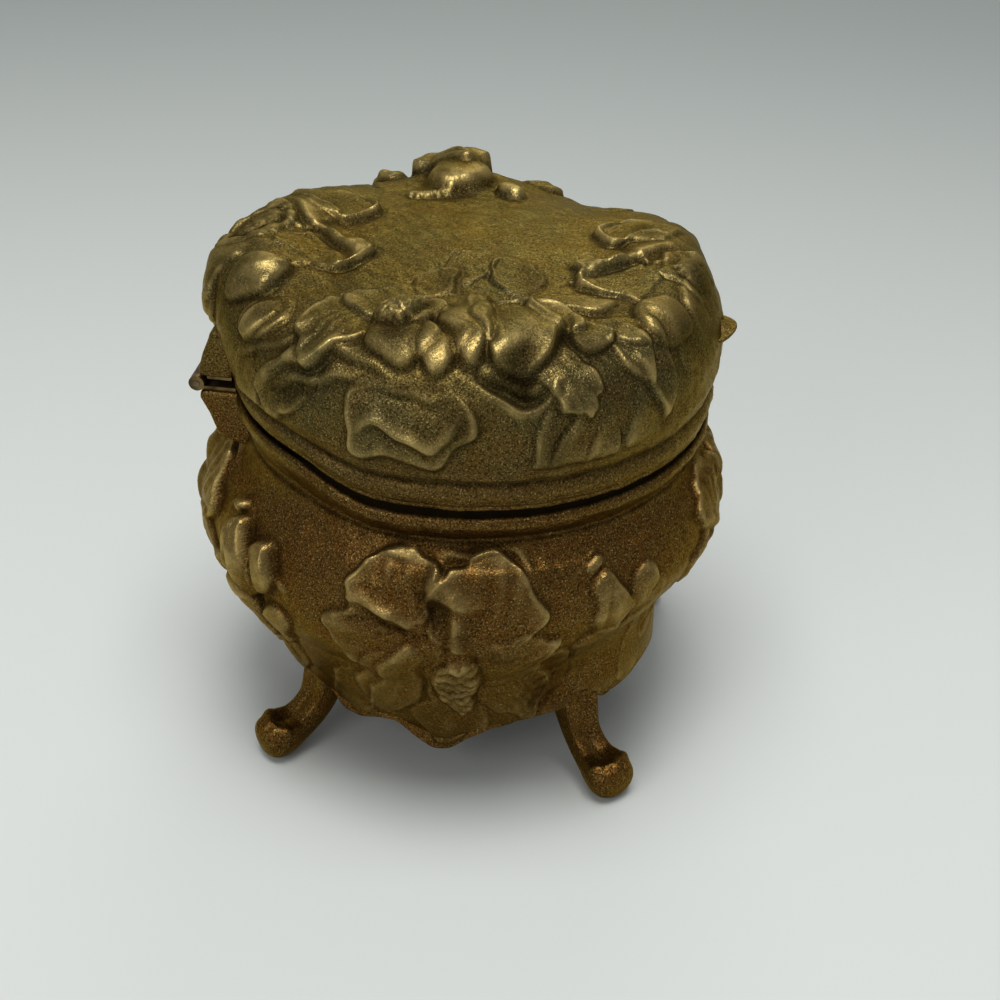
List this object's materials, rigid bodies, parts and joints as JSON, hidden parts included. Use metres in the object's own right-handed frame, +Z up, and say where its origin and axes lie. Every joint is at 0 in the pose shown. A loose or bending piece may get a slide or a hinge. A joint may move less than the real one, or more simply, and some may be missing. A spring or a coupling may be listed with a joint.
{
  "type": "jewelry casket",
  "caption": "Round bombe jewelry casket of cast metal with poppy relief, a hinged domed lid, cabriole legs and a silk lining.",
  "frame": {"origin": "on the floor under the middle of the box", "axes": "+Z up; the hinge is at +Y and the lift petal of the lid at -Y"},
  "size_m": [0.1034, 0.1034, 0.1023],
  "materials": {
    "antique_gold_casting": "antique gold bronzing over cast white metal, worn, granular",
    "hinge_brass": "dull, darkened with age",
    "pin_steel": "plain wire",
    "bottom_sheet": "bronzed sheet",
    "lining_card": "grey-brown board",
    "lining_silk": "satin silk, old gold",
    "edge_cord": "twisted silk cord"
  },
  "bodies": {
    "base": {"body_shell": "antique_gold_casting", "bottom_plate": "bottom_sheet", "hinge_leaf_body": "hinge_brass", "hinge_pin": "pin_steel", "body_wall_card": "lining_card", "body_wall_silk": "lining_silk", "body_floor_card": "lining_card", "body_floor_cushion": "lining_silk", "body_edge_cord": "edge_cord", "leg_front_right": "antique_gold_casting", "leg_back_right": "antique_gold_casting", "leg_back_left": "antique_gold_casting", "leg_front_left": "antique_gold_casting"},
    "lid": {"lid_shell": "antique_gold_casting", "hinge_leaf_lid": "hinge_brass", "lid_wall_card": "lining_card", "lid_wall_silk": "lining_silk", "lid_top_card": "lining_card", "lid_top_cushion": "lining_silk", "lid_edge_cord": "edge_cord"}
  },
  "joints": [
    {"name": "lid_hinge", "type": "hinge", "parent": "base", "child": "lid", "pos_m": [0, 0.0498, 0.0734], "axis": [-1, 0, 0], "range_deg": [0, 100]}
  ]
}
